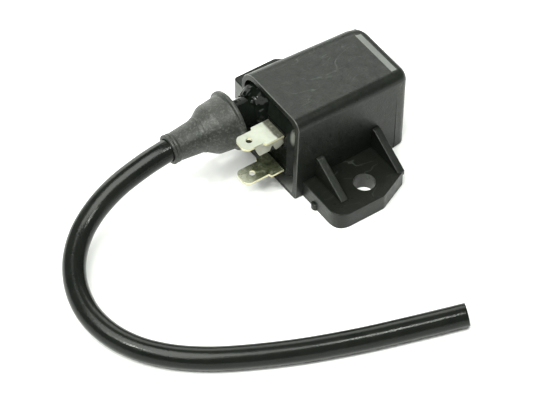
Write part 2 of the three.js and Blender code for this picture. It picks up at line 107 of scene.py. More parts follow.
# ---------- materials ----------
class Finish:
    """A Principled material and the nodes that shape it, in metres and cycles per metre."""

    def __init__(self, name, **sockets):
        self.material = bpy.data.materials.new(name)
        self.material.use_nodes = True
        self.nodes = self.material.node_tree.nodes
        self.links = self.material.node_tree.links
        self.shader = self.nodes["Principled BSDF"]
        for socket, value in sockets.items():
            self.shader.inputs[socket.replace("_", " ")].default_value = value
        self.where = self.nodes.new("ShaderNodeTexCoord").outputs["Object"]
        self.normal = None

    def noise(self, scale, detail=4.0, roughness=0.6, stretch=None, distortion=0.0):
        node = self.nodes.new("ShaderNodeTexNoise")
        node.inputs["Scale"].default_value = scale
        node.inputs["Detail"].default_value = detail
        node.inputs["Roughness"].default_value = roughness
        node.inputs["Distortion"].default_value = distortion
        self.links.new(self.stretched(stretch), node.inputs["Vector"])
        return node.outputs["Fac"]

    def stretched(self, stretch):
        if stretch is None:
            return self.where
        node = self.nodes.new("ShaderNodeMapping")
        node.inputs["Scale"].default_value = stretch
        self.links.new(self.where, node.inputs["Vector"])
        return node.outputs["Vector"]

    def specks(self, scale):
        node = self.nodes.new("ShaderNodeTexVoronoi")
        node.inputs["Scale"].default_value = scale
        self.links.new(self.where, node.inputs["Vector"])
        return node.outputs["Distance"]

    def ramp(self, value, stops):
        node = self.nodes.new("ShaderNodeValToRGB")
        ramp = node.color_ramp
        while len(ramp.elements) < len(stops):
            ramp.elements.new(0.5)
        for element, (at, color) in zip(ramp.elements, stops):
            element.position = at
            element.color = (*color, 1) if isinstance(color, tuple) else (color,) * 3 + (1,)
        self.links.new(value, node.inputs["Fac"])
        return node.outputs["Color"]

    def mix(self, share, low, high):
        node = self.nodes.new("ShaderNodeMix")
        node.data_type = "RGBA"
        for socket, value in ((0, share), (6, low), (7, high)):
            if isinstance(value, bpy.types.NodeSocket):
                self.links.new(value, node.inputs[socket])
            elif isinstance(value, tuple):
                node.inputs[socket].default_value = (*value, 1)
            else:
                node.inputs[socket].default_value = value
        return node.outputs[2]

    def color(self, value):
        self.links.new(value, self.shader.inputs["Base Color"])

    def roughness(self, value):
        self.links.new(value, self.shader.inputs["Roughness"])

    def bump(self, height, strength, distance):
        node = self.nodes.new("ShaderNodeBump")
        node.inputs["Strength"].default_value = strength
        node.inputs["Distance"].default_value = distance
        self.links.new(height, node.inputs["Height"])
        if self.normal is not None:
            self.links.new(self.normal, node.inputs["Normal"])
        self.normal = node.outputs["Normal"]
        self.links.new(self.normal, self.shader.inputs["Normal"])

    def soft_patch(self, centre, size):
        """A soft-edged patch: 1 at its centre, falling to 0 at its size in millimetres."""
        away = self.nodes.new("ShaderNodeVectorMath")
        away.operation = "SUBTRACT"
        self.links.new(self.where, away.inputs[0])
        away.inputs[1].default_value = place(*centre)
        scaled = self.nodes.new("ShaderNodeVectorMath")
        scaled.operation = "DIVIDE"
        self.links.new(away.outputs[0], scaled.inputs[0])
        scaled.inputs[1].default_value = Vector(size) * 0.001
        length = self.nodes.new("ShaderNodeVectorMath")
        length.operation = "LENGTH"
        self.links.new(scaled.outputs[0], length.inputs[0])
        return self.ramp(length.outputs["Value"], [(0.45, 1.0), (1.0, 0.0)])

    def root_band(self, light_end, dark_end):
        """How far a blade darkens towards its root, between two places along Y: resin wetting on
        the upper blade, tarnishing and painted shade on the lower one.
        """
        raggedness = 0.0008
        split = self.nodes.new("ShaderNodeSeparateXYZ")
        self.links.new(self.where, split.inputs[0])
        ragged = self.nodes.new("ShaderNodeMath")
        ragged.operation = "MULTIPLY_ADD"
        self.links.new(self.noise(700, 3, 0.6), ragged.inputs[0])
        ragged.inputs[1].default_value = raggedness
        self.links.new(split.outputs["Y"], ragged.inputs[2])
        span = self.nodes.new("ShaderNodeMapRange")
        self.links.new(ragged.outputs[0], span.inputs["Value"])
        for end, y in (("From Min", light_end), ("From Max", dark_end)):
            span.inputs[end].default_value = (y + OPEN_END) * 0.001 + raggedness / 2
        return span.outputs["Result"]


def satin_plastic(name, base, light, gloss):
    made = Finish(name, Specular_IOR_Level=gloss)
    cloud = made.noise(55, 5, 0.6)
    patches = made.ramp(cloud, [(0.30, base), (0.75, light)])
    dust = made.ramp(made.specks(900), [(0.0, 1.0), (0.10, 0.0)])
    sparse = made.ramp(made.noise(240, 2, 0.5), [(0.60, 0.0), (0.72, 1.0)])
    fine = made.mix(sparse, (0.0, 0.0, 0.0), dust)
    hairs = made.noise(130, 1, 0.5, stretch=(1.0, 0.4, 0.7), distortion=1.2)
    scuffs = made.ramp(hairs, [(0.488, 0.0), (0.497, 1.0), (0.506, 0.0)])
    worn = made.ramp(made.noise(110, 3, 0.6), [(0.52, 0.0), (0.64, 0.8)])
    scuffed = made.mix(made.mix(worn, (0.0, 0.0, 0.0), scuffs), patches, (0.050, 0.055, 0.049))
    made.color(made.mix(fine, scuffed, (0.16, 0.17, 0.155)))
    made.roughness(made.ramp(made.noise(420, 6, 0.75), [(0.30, 0.24), (0.72, 0.46)]))
    made.bump(made.noise(1500, 3, 0.6), 0.30, 0.0002)
    made.bump(made.noise(40, 2, 0.5), 0.25, 0.0006)
    return made.material


def resin_finish():
    made = Finish("potting_epoxy", Specular_IOR_Level=0.05)
    black = [(0.35, (0.002, 0.003, 0.002)), (0.8, (0.007, 0.008, 0.007))]
    made.color(made.ramp(made.noise(220, 4, 0.6), black))
    made.roughness(made.ramp(made.noise(300, 5, 0.6), [(0.3, 0.04), (0.7, 0.14)]))
    made.bump(made.noise(420, 3, 0.5), 0.20, 0.0006)
    made.bump(made.noise(1600, 3, 0.6), 0.08, 0.0002)
    return made.material


def carrier_finish():
    made = Finish("wetted_carrier", Specular_IOR_Level=0.05)
    wet = made.ramp(
        made.noise(160, 4, 0.6), [(0.3, (0.003, 0.004, 0.003)), (0.8, (0.010, 0.012, 0.010))]
    )
    # The pale patch on the carrier's near edge is a painted highlight.
    made.color(made.mix(made.soft_patch((12.4, -0.3, 24.6), (1.1, 1.1, 3.6)), wet, (0.13, 0.135, 0.12)))
    made.roughness(made.ramp(made.noise(260, 4, 0.6), [(0.3, 0.08), (0.75, 0.30)]))
    made.bump(made.noise(260, 3, 0.6), 0.5, 0.0006)
    return made.material


def tin_finish():
    made = Finish("tin_plate", Metallic=0.2)
    dull = made.noise(170, 5, 0.65, distortion=0.4)
    plate = made.ramp(dull, [(0.30, (0.255, 0.268, 0.22)), (0.62, (0.335, 0.35, 0.30))])
    stain = made.ramp(
        made.noise(900, 4, 0.7),
        [(0.30, (0.020, 0.020, 0.014)), (0.60, (0.070, 0.070, 0.052)), (0.75, (0.20, 0.20, 0.16))],
    )
    made.color(made.mix(made.root_band(-4.5, -3.9), plate, stain))
    made.roughness(made.ramp(made.noise(420, 4, 0.6), [(0.3, 0.30), (0.8, 0.52)]))
    made.bump(made.noise(2200, 2, 0.5, stretch=(1, 0.15, 1)), 0.15, 0.0001)
    return made.material


def web_finish():
    made = Finish("tin_web", Metallic=0.5)
    made.color(
        made.ramp(made.noise(240, 5, 0.65), [(0.3, (0.25, 0.25, 0.20)), (0.75, (0.42, 0.42, 0.36))])
    )
    made.roughness(made.ramp(made.noise(380, 4, 0.6), [(0.3, 0.34), (0.8, 0.56)]))
    made.bump(made.noise(1800, 2, 0.5), 0.15, 0.0001)
    return made.material


def tarnish_and_shade_finish():
    made = Finish("tarnished_tin_and_painted_shade", Metallic=0.6)
    blotch = made.noise(330, 6, 0.7, distortion=0.8)
    olive_tarnish_and_shade = made.ramp(
        blotch,
        [(0.34, (0.030, 0.038, 0.018)), (0.54, (0.10, 0.11, 0.065)), (0.72, (0.38, 0.39, 0.29))],
    )
    bright = made.ramp(
        blotch, [(0.30, (0.17, 0.18, 0.12)), (0.46, (0.40, 0.41, 0.32)), (0.62, (0.58, 0.59, 0.49))]
    )
    # Lighter at the tip, darker and greenish towards the root: tarnishing, partly painted shade
    # under the terminal above.
    made.color(made.mix(made.root_band(-13.4, -9.6), bright, olive_tarnish_and_shade))
    made.roughness(made.ramp(made.noise(700, 5, 0.7), [(0.3, 0.24), (0.8, 0.55)]))
    made.bump(made.noise(1300, 4, 0.6), 0.3, 0.0002)
    return made.material


def edge_finish():
    made = Finish("bare_blade_edge", Metallic=0.7)
    made.color(
        made.ramp(made.noise(500, 4, 0.6), [(0.3, (0.42, 0.39, 0.22)), (0.7, (0.70, 0.66, 0.45))])
    )
    made.roughness(made.ramp(made.noise(900, 4, 0.6), [(0.3, 0.26), (0.8, 0.46)]))
    made.bump(made.noise(3000, 2, 0.5, stretch=(1, 1, 0.1)), 0.2, 0.0001)
    return made.material


def tower_finish():
    made = Finish("tower_plastic", Specular_IOR_Level=0.05)
    black = [(0.3, (0.002, 0.003, 0.002)), (0.8, (0.006, 0.007, 0.006))]
    made.color(made.ramp(made.noise(150, 4, 0.6), black))
    made.roughness(made.ramp(made.noise(300, 4, 0.6), [(0.3, 0.06), (0.75, 0.20)]))
    made.bump(made.noise(200, 3, 0.6), 0.4, 0.0006)
    return made.material


def rubber_finish():
    made = Finish("dusty_rubber", Specular_IOR_Level=0.42)
    cloud = made.ramp(
        made.noise(120, 6, 0.72), [(0.28, (0.006, 0.007, 0.005)), (0.72, (0.026, 0.028, 0.024))]
    )
    bloom = made.ramp(made.noise(1500, 4, 0.75), [(0.50, 0.0), (0.75, 1.0)])
    made.color(made.mix(bloom, cloud, (0.075, 0.078, 0.070)))
    made.roughness(made.ramp(made.noise(260, 4, 0.6), [(0.3, 0.34), (0.8, 0.62)]))
    made.bump(made.noise(1100, 5, 0.7), 0.45, 0.0003)
    made.bump(made.noise(150, 2, 0.5), 0.25, 0.0008)
    return made.material


def jacket_finish():
    made = Finish("cable_jacket", Specular_IOR_Level=0.2)
    black = [(0.3, (0.004, 0.005, 0.004)), (0.8, (0.010, 0.011, 0.009))]
    made.color(made.ramp(made.noise(90, 4, 0.6), black))
    made.roughness(made.ramp(made.noise(240, 5, 0.65), [(0.3, 0.14), (0.8, 0.25)]))
    made.bump(made.noise(1700, 3, 0.6), 0.22, 0.0002)
    made.bump(made.noise(60, 2, 0.5), 0.20, 0.0006)
    return made.material


def insulation_finish():
    made = Finish("lead_insulation", Roughness=0.7)
    made.color(
        made.ramp(made.noise(900, 4, 0.6), [(0.3, (0.24, 0.23, 0.20)), (0.7, (0.36, 0.35, 0.31))])
    )
    made.bump(made.noise(2000, 3, 0.6), 0.3, 0.0002)
    return made.material


def metal_finish(name, dark, light, roughness, stretch):
    made = Finish(name, Metallic=1.0)
    made.color(made.ramp(made.noise(400, 4, 0.6, stretch=stretch), [(0.3, dark), (0.7, light)]))
    made.roughness(
        made.ramp(made.noise(700, 3, 0.6), [(0.3, roughness * 0.8), (0.8, roughness * 1.3)])
    )
    made.bump(made.noise(2400, 2, 0.5, stretch=stretch), 0.3, 0.0001)
    return made.material


def winding_finish():
    made = Finish("enamelled_copper", Roughness=0.3, Metallic=1.0)
    wave = made.nodes.new("ShaderNodeTexWave")
    wave.bands_direction = "Y"
    wave.inputs["Scale"].default_value = 900
    made.links.new(made.where, wave.inputs["Vector"])
    turns = [(0.1, (0.26, 0.08, 0.03)), (0.8, (0.60, 0.25, 0.10))]
    made.color(made.ramp(wave.outputs["Fac"], turns))
    made.bump(wave.outputs["Fac"], 0.6, 0.0002)
    return made.material


def soft_plastic(name, dark, light, roughness):
    made = Finish(name, Roughness=roughness)
    made.color(made.ramp(made.noise(200, 4, 0.6), [(0.3, dark), (0.7, light)]))
    made.bump(made.noise(900, 3, 0.6), 0.15, 0.0002)
    return made.material


def floor_finish():
    made = Finish("floor", Roughness=0.9)
    made.color(made.ramp(made.noise(30, 3, 0.5), [(0.3, 0.855), (0.7, 0.875)]))
    return made.material


# The casing's faces share one plastic and differ in tone: darkest and lightest colour, gloss.
# Several tones are painted light: painted reflections on the rear taper's top strip and on the
# inner floor, a painted highlight on the rim's edge and the far ear's front face, and painted shade
# on the ear tops, the rib sides and the seam slot.
CASING_TONES = {
    "casing": ("casing_plastic", (0.006, 0.007, 0.006), (0.012, 0.014, 0.011), 0.22),
    "facet_reflection": ("casing_facet_painted_reflection", (0.09, 0.096, 0.088), (0.17, 0.177, 0.167), 0.22),
    "pale_floor_reflection": ("casing_floor_painted_reflection", (0.12, 0.125, 0.115), (0.20, 0.205, 0.195), 0.22),
    "shaded": ("casing_shaded", (0.004, 0.005, 0.004), (0.008, 0.009, 0.007), 0.12),
    "rim": ("casing_rim_painted_highlight", (0.040, 0.043, 0.038), (0.085, 0.090, 0.082), 0.4),
    "crease": ("casing_crease_painted_shade", (0.004, 0.005, 0.004), (0.007, 0.008, 0.007), 0.22),
    "hole": ("casing_hole", (0.030, 0.032, 0.029), (0.075, 0.078, 0.072), 0.22),
    "inner": ("casing_inside", (0.010, 0.011, 0.010), (0.028, 0.030, 0.027), 0.22),
}
MATERIALS = {
    **{finish: satin_plastic(*tone) for finish, tone in CASING_TONES.items()},
    "resin": resin_finish(),
    "carrier": carrier_finish(),
    "tin": tin_finish(),
    "web": web_finish(),
    "tarnish": tarnish_and_shade_finish(),
    "edge": edge_finish(),
    "tower": tower_finish(),
    "rubber": rubber_finish(),
    "jacket": jacket_finish(),
    "insulation": insulation_finish(),
    "steel": metal_finish("core_steel", (0.20, 0.21, 0.22), (0.36, 0.37, 0.38), 0.4, (1, 0.1, 1)),
    "brass": metal_finish("turned_brass", (0.46, 0.33, 0.12), (0.66, 0.50, 0.20), 0.3, (1, 0.1, 1)),
    "strands": metal_finish("tinned_strands", (0.45, 0.44, 0.42), (0.72, 0.71, 0.68), 0.35, None),
    "copper": winding_finish(),
    "bobbin": soft_plastic("nylon_bobbin", (0.58, 0.54, 0.43), (0.72, 0.68, 0.56), 0.55),
    "tape": soft_plastic("amber_tape", (0.52, 0.32, 0.05), (0.70, 0.47, 0.11), 0.35),
    "floor": floor_finish(),
}


# ---------- mesh helpers ----------
SHARP_ANGLE = math.radians(32)  # edges sharper than this are rounded, the rest shaded smooth


def mesh_piece(name, points, faces, finishes, indices=None):
    mesh = bpy.data.meshes.new(name)
    mesh.from_pydata([place(*point) for point in points], [], faces)
    for finish in finishes:
        mesh.materials.append(MATERIALS[finish])
    if indices is not None:
        mesh.polygons.foreach_set("material_index", indices)
    shell = bmesh.new()
    shell.from_mesh(mesh)
    bmesh.ops.recalc_face_normals(shell, faces=shell.faces)
    shell.to_mesh(mesh)
    shell.free()
    made = bpy.data.objects.new(name, mesh)
    bpy.context.collection.objects.link(made)
    return made


def apply_modifiers(piece):
    depsgraph = bpy.context.evaluated_depsgraph_get()
    mesh = bpy.data.meshes.new_from_object(piece.evaluated_get(depsgraph))
    piece.modifiers.clear()
    piece.data = mesh


def combine(piece, tool, operation):
    cut = piece.modifiers.new("combine", "BOOLEAN")
    cut.object = tool
    cut.operation = operation
    cut.solver = "EXACT"
    cut.material_mode = "TRANSFER"
    apply_modifiers(piece)
    bpy.data.objects.remove(tool)


def round_edges(piece, width, segments):
    bevel = piece.modifiers.new("soften", "BEVEL")
    bevel.limit_method = "ANGLE"
    bevel.angle_limit = SHARP_ANGLE
    bevel.width = width * 0.001
    bevel.segments = segments
    return bevel


def soften(piece, width, segments=2):
    """Rounds the sharp edges by a width in millimetres and shades the rest smooth."""
    bevel = round_edges(piece, width, segments)
    bevel.use_clamp_overlap = False
    bevel.harden_normals = True
    smooth(piece)


def smooth(piece, angle=SHARP_ANGLE):
    mesh = piece.data
    mesh.polygons.foreach_set("use_smooth", [True] * len(mesh.polygons))
    mesh.set_sharp_from_angle(angle=angle)


def weigh(piece):
    """Keeps broad faces flat where they meet rounded edges."""
    weigh_normals = piece.modifiers.new("weigh", "WEIGHTED_NORMAL")
    weigh_normals.keep_sharp = True
    weigh_normals.weight = 90


def finish_piece(piece, slot, *nodes):
    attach(piece, "root")
    if nodes:
        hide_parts(*nodes)


def prism(name, outline, to_point, low, high, finishes):
    """A flat outline pulled from low to high; to_point turns (a, b, depth) into x, y, z."""
    count = len(outline)
    points = [to_point(a, b, low) for a, b in outline] + [to_point(a, b, high) for a, b in outline]
    faces = [tuple(range(count)), tuple(range(2 * count - 1, count - 1, -1))]
    for i in range(count):
        j = (i + 1) % count
        faces.append((i, j, count + j, count + i))
    return mesh_piece(name, points, faces, finishes)


def block(name, outline, to_point, low, high, edge, finishes=("casing",)):
    """A prism whose sharp edges are rounded by a width in millimetres."""
    piece = prism(name, outline, to_point, low, high, finishes)
    round_edges(piece, edge, 3)
    apply_modifiers(piece)
    return piece


def paint(piece, towards, finish_index):
    """Gives the faces that look in a direction another of the piece's finishes."""
    for polygon in piece.data.polygons:
        if polygon.normal.dot(Vector(towards)) > 0.9:
            polygon.material_index = finish_index


def lying(a, b, depth):
    return (a, b, depth)


def facing_x(a, b, depth):
    return (depth, a, b)


def facing_y(a, b, depth):
    return (a, depth, b)


def rounded(outline, steps=5):
    """A closed outline whose corners (a, b, size) are rounded off by their size."""
    made = []
    count = len(outline)
    for i, (a, b, size) in enumerate(outline):
        here = Vector((a, b))
        if size == 0:
            made.append((a, b))
            continue
        before = Vector(outline[i - 1][:2]) - here
        after = Vector(outline[(i + 1) % count][:2]) - here
        start = here + before.normalized() * min(size, before.length / 2)
        end = here + after.normalized() * min(size, after.length / 2)
        for k in range(steps + 1):
            t = k / steps
            point = start * (1 - t) ** 2 + here * 2 * t * (1 - t) + end * t**2
            made.append((point.x, point.y))
    return made


def lathe(name, profile, x, z, finishes, segments=96, wobble=None):
    """A closed profile of (radius, y) turned about an axis along Y."""
    count = len(profile)
    points = []
    for i in range(segments):
        angle = 2 * math.pi * i / segments
        for radius, y in profile:
            spot = Vector((radius * math.cos(angle), y, radius * math.sin(angle)))
            if wobble is not None:
                spot = wobble(spot)
            points.append((x + spot.x, spot.y, z + spot.z))
    faces = []
    for i in range(segments):
        for j in range(count):
            k = (j + 1) % count
            next_row = ((i + 1) % segments) * count
            faces.append((i * count + j, i * count + k, next_row + k, next_row + j))
    piece = mesh_piece(name, points, faces, finishes)
    smooth(piece)
    return piece


# ---------- casing ----------
BODY_WIDTH = 29.1
BODY_HEIGHT = 31.4
TOP_DROP = 1.15  # the top and both sides draw in towards the closed end
NEAR_DRAFT = 0.45
FAR_DRAFT = 1.1
FRONT_LEAN = 0.75  # the open end's foot stands out past its top
WALL = 1.55
BACK_WALL = 2.0
NEAR_TOP_RADIUS = 3.15
FAR_TOP_RADIUS = 6.3
FLOOR_RADIUS = 0.7
BACK_RADIUS = 2.85
TAPER_START = 35.85
TAPER_DEPTH = 0.25
INNER_NEAR_TOP_RADIUS = NEAR_TOP_RADIUS + 0.6
INNER_FAR_TOP_RADIUS = FAR_TOP_RADIUS - WALL
RIM_EDGE = 0.35
SEAM_Y = 36.0  # a narrow moulding seam down the near side
SEAM_DEPTH = 0.75
WALL_X = BODY_WIDTH / 2
EMBED = 1.2  # how far the ears and ribs start inside the wall
HOLE_RADIUS = 3.4
HOLE_REACH = 10.0
RIB_THICKNESS = 2.5
RIB_HEIGHT = 13.7
RIB_EDGE = 0.28
EAR_EDGE = 0.3
# Reaches are counted from the body's side, and every other place from the open end.
NEAR_EAR = dict(
    side=1, thickness=6.0, front=2.15, reach=17.7, corner=4.7, side_end=19.0, rear=29.5,
    rear_reach=12.9, rib_reach=13.2, front_rib=7.85, rear_rib=28.45, hole_y=17.2,
)
FAR_EAR = dict(
    side=-1, thickness=8.4, front=8.0, reach=16.4, corner=1.3, side_end=23.2, rear=30.4,
    rear_reach=11.6, rib_reach=11.4, front_rib=10.1, rear_rib=29.35, hole_y=19.6,
)
ARC_STEPS = 12


def ring(y, inset, near_top, far_top, floor=None, lean=0.0):
    """One ring of the body's rounded section, with its number of points the same everywhere."""
    share = max(y, 0) / BODY_LENGTH
    near = BODY_WIDTH / 2 - NEAR_DRAFT * share - inset
    far = inset - BODY_WIDTH / 2 + FAR_DRAFT * share
    high = BODY_HEIGHT - TOP_DROP * share - inset
    low = inset if floor is None else floor
    corners = [
        (near, low, 1, -1, FLOOR_RADIUS, -0.5),
        (near, high, 1, 1, near_top, 0.0),
        (far, high, -1, 1, far_top, 0.5),
        (far, low, -1, -1, FLOOR_RADIUS, 1.0),
    ]
    points = []
    for x, z, sign_x, sign_z, radius, start in corners:
        for i in range(ARC_STEPS + 1):
            angle = math.pi * (start + 0.5 * i / ARC_STEPS)
            px = x - sign_x * radius + radius * math.cos(angle)
            pz = z - sign_z * radius + radius * math.sin(angle)
            points.append((px, y - lean * (1 - pz / BODY_HEIGHT), pz))
    return points


def loft(name, rings, finishes, pick=None):
    count = len(rings[0])
    points = [point for row in rings for point in row]
    faces = []
    indices = []
    for k in range(len(rings) - 1):
        for j in range(count):
            i = (j + 1) % count
            faces.append((k * count + j, k * count + i, (k + 1) * count + i, (k + 1) * count + j))
            indices.append(0 if pick is None else pick(k, j))
    last = (len(rings) - 1) * count
    faces.append(tuple(range(count)))
    faces.append(tuple(range(last, last + count)))
    indices += [0, 0]
    return mesh_piece(name, points, faces, finishes, indices)


def outer_skin():
    tops = (NEAR_TOP_RADIUS, FAR_TOP_RADIUS)
    bend = RIM_EDGE * 0.3  # where the rounded rim passes between its two ends
    rings = [
        ring(0, RIM_EDGE, *tops, lean=FRONT_LEAN),
        ring(bend, bend, *tops, lean=FRONT_LEAN),
        ring(RIM_EDGE, 0, *tops, lean=FRONT_LEAN),
        ring(TAPER_START, 0, *tops, floor=0),
    ]
    for i in range(ARC_STEPS + 1):
        angle = math.pi / 2 * i / ARC_STEPS
        inset = TAPER_DEPTH + BACK_RADIUS * (1 - math.cos(angle))
        y = BODY_LENGTH - BACK_RADIUS + BACK_RADIUS * math.sin(angle)
        near_top, far_top = (radius - inset * 0.4 for radius in tops)
        rings.append(ring(y, inset, near_top, far_top, floor=0))
    # The rounded rim's row takes a lighter, glossier tone: a painted highlight along the open end's
    # edge.
    rim_highlight_row = 1
    # The top strip across the rear taper takes a pale tone: a painted reflection.
    reflection_facet_row = 3
    top_flat = 2 * (ARC_STEPS + 1) - 1

    def pick(row, column):
        if row == rim_highlight_row:
            return 2
        return 1 if row == reflection_facet_row and column == top_flat else 0

    return loft("coil_casing", rings, ["casing", "facet_reflection", "rim"], pick)


def inner_space():
    ends = (-3, BODY_LENGTH - BACK_WALL)
    rows = [ring(y, WALL, INNER_NEAR_TOP_RADIUS, INNER_FAR_TOP_RADIUS) for y in ends]
    space = loft("inner_space", rows, ["inner", "pale_floor_reflection"])
    # The inner floor takes a paler tone: a painted reflection.
    paint(space, (0, 0, -1), 1)
    return space


def ear_slab(ear):
    edge = WALL_X + ear["reach"]
    outline = [
        (WALL_X - EMBED, ear["front"], 0),
        (edge, ear["front"], ear["corner"] * 1.05),
        (edge, ear["side_end"], 0.5),
        (WALL_X + ear["rear_reach"], ear["rear"], 0.5),
        (WALL_X - EMBED, ear["rear"], 0),
    ]
    flat = [(ear["side"] * x, y) for x, y in rounded(outline, 10)]
    finishes = ("casing", "rim", "shaded")
    slab = block("ear", flat, lying, 0, ear["thickness"], EAR_EDGE, finishes)
    # Ear tops take the darker, less glossy tone: painted shade.
    paint(slab, (0, 0, 1), 2)
    # The far ear's front face takes the lighter rim tone: a painted reflection.
    if ear["side"] < 0:
        paint(slab, (0, -1, 0), 1)
    return slab


def gusset(ear, middle):
    foot = ear["thickness"] - 1.5
    end = WALL_X + ear["rib_reach"]
    outline = [
        (WALL_X - EMBED, foot),
        (end, foot),
        (end, ear["thickness"] + EAR_EDGE),
        (WALL_X + 0.8, RIB_HEIGHT),
        (WALL_X - EMBED, RIB_HEIGHT),
    ]
    flat = [(ear["side"] * x, z) for x, z in outline]
    low, high = middle - RIB_THICKNESS / 2, middle + RIB_THICKNESS / 2
    rib = block("rib", flat, facing_y, low, high, RIB_EDGE, ("casing", "shaded"))
    # The rib's front and back faces take the same painted shade.
    paint(rib, (0, -1, 0), 1)
    paint(rib, (0, 1, 0), 1)
    return rib


def disc_outline(x, y, radius, count):
    turns = [2 * math.pi * i / count for i in range(count)]
    return [(x + radius * math.cos(turn), y + radius * math.sin(turn)) for turn in turns]


def add_casing():
    casing = outer_skin()
    for ear in (NEAR_EAR, FAR_EAR):
        combine(casing, ear_slab(ear), "UNION")
        combine(casing, gusset(ear, ear["front_rib"]), "UNION")
        combine(casing, gusset(ear, ear["rear_rib"]), "UNION")
    nub = disc_outline(WALL_X + 5.9, NEAR_EAR["front"] + 0.3, 1.3, 24)
    combine(casing, block("nub", nub, lying, 0.02, 2.3, 0.35), "UNION")
    slot = [(SEAM_Y - 0.16, -0.5), (SEAM_Y + 0.16, -0.5), (SEAM_Y + 0.10, 21), (SEAM_Y, 22)]
    # The slot takes a darker tone: painted shade in the seam.
    seam = prism("slot", slot, facing_x, WALL_X - SEAM_DEPTH, WALL_X + 0.5, ["crease"])
    combine(casing, seam, "DIFFERENCE")
    combine(casing, inner_space(), "DIFFERENCE")
    for ear in (NEAR_EAR, FAR_EAR):
        hole = disc_outline(ear["side"] * (WALL_X + HOLE_REACH), ear["hole_y"], HOLE_RADIUS, 64)
        combine(casing, prism("hole", hole, lying, -2, 12, ["hole"]), "DIFFERENCE")
    smooth(casing)
    weigh(casing)
    finish_piece(casing, "casing", "casing")


add_casing()


# ---------- potting resin ----------
RESIN_FRONT = 5.6


def resin_height(x, z, wall_distance):
    """The poured face: it climbs the walls and is uneven."""
    climb = 1.25 * math.exp(-wall_distance / 0.9)
    swell = 0.28 * noise.noise(Vector((x, 3.1, z)) * 0.22)
    ripple = 0.10 * noise.noise(Vector((x, 7.7, z)) * 0.9)
    return RESIN_FRONT - climb + swell + ripple


def add_resin():
    gap = 0.02
    outline = ring(RESIN_FRONT, WALL + gap, INNER_NEAR_TOP_RADIUS, INNER_FAR_TOP_RADIUS)
    dense = []
    for i, (x, _, z) in enumerate(outline):
        nx, _, nz = outline[(i + 1) % len(outline)]
        parts = max(1, round(math.hypot(nx - x, nz - z) / 0.6))
        for k in range(parts):
            t = k / parts
            dense.append((x + (nx - x) * t, z + (nz - z) * t))
    centre = (0.0, 15.2)
    rows = 34
    points = []
    for k in range(rows + 1):
        share = (k / rows) ** 0.7  # the rows lie closer together near the wall
        for x, z in dense:
            px = centre[0] + (x - centre[0]) * share
            pz = centre[1] + (z - centre[1]) * share
            wall_distance = math.hypot(x - px, z - pz)
            points.append((px, resin_height(px, pz, wall_distance), pz))
    count = len(dense)
    points += [(x, BODY_LENGTH - BACK_WALL - 0.2, z) for x, z in dense]
    faces = []
    for k in range(rows + 1):
        for j in range(count):
            i = (j + 1) % count
            faces.append((k * count + j, k * count + i, (k + 1) * count + i, (k + 1) * count + j))
    back = (rows + 1) * count
    faces.append(tuple(range(back, back + count)))
    resin = mesh_piece("potted_resin", points, faces, ["resin"])
    cleaned = bmesh.new()
    cleaned.from_mesh(resin.data)
    bmesh.ops.remove_doubles(cleaned, verts=cleaned.verts, dist=1e-6)
    bmesh.ops.recalc_face_normals(cleaned, faces=cleaned.faces)
    cleaned.to_mesh(resin.data)
    cleaned.free()
    smooth(resin, math.radians(50))
    finish_piece(resin, "resin", "potting_resin")


add_resin()


# ---------- terminal carrier ----------
def add_carrier():
    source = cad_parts["terminal_carrier"]
    mesh = source.data.copy()
    mesh.materials.clear()
    mesh.materials.append(MATERIALS["carrier"])
    carrier = bpy.data.objects.new("blade_carrier", mesh)
    bpy.context.collection.objects.link(carrier)
    shell = bmesh.new()
    shell.from_mesh(mesh)
    bmesh.ops.remove_doubles(shell, verts=shell.verts, dist=1e-6)
    flat = math.radians(1)
    bmesh.ops.dissolve_limit(shell, angle_limit=flat, verts=shell.verts, edges=shell.edges)
    shell.to_mesh(mesh)
    shell.free()
    soften(carrier, 0.18, 3)
    finish_piece(carrier, "carrier", "terminal_carrier")


add_carrier()

# ---------- blade terminals ----------
BLADE_THICKNESS = 0.8
UPPER_BLADE = dict(x=6.0, z=24.25, width=6.2, shoulder=8.1, tip=-14.9, hole=-11.5, step=-8.6)
LOWER_BLADE = dict(x=6.1, z=9.85, width=6.3, shoulder=8.3, tip=-14.6, hole=-10.4, step=-6.6)
BLADE_HOLE_RADIUS = 0.95
CARRIER_FACE = -1.6
WEB_DEPTH = 4.4  # from the middle of the blade down
WEB_BACK = -0.65
WEB_LENGTH = 11.2


def blade_plate(name, blade, face_finish):
    half = blade["width"] / 2
    wide = blade["shoulder"] / 2
    side = [
        (half - 1.4, blade["tip"], 0.5),
        (half, blade["tip"] + 1.2, 0.6),
        (half, blade["step"], 0.12),
        (wide, blade["step"] + 0.35, 0.3),
        (wide, 3.0, 0.2),
        (half, 3.4, 0.2),
        (half, 7.8, 0.2),
    ]
    mirrored = [(-x, y, size) for x, y, size in reversed(side)]
    outline = [(x + blade["x"], y) for x, y in rounded(side + mirrored, 4)]
    low = blade["z"] - BLADE_THICKNESS / 2
    plate = prism(name, outline, lying, low, low + BLADE_THICKNESS, [face_finish, "edge"])
    hole = disc_outline(blade["x"], blade["hole"], BLADE_HOLE_RADIUS, 40)
    combine(plate, prism("hole", hole, lying, low - 1, low + 2, ["edge"]), "DIFFERENCE")
    return plate


def paint_edges(plate):
    """The stamped edges show bare metal, and the broad faces keep their plating."""
    plating, bare = 0, 1
    for polygon in plate.data.polygons:
        if abs(polygon.normal.z) < 0.5 and polygon.material_index == plating:
            polygon.material_index = bare


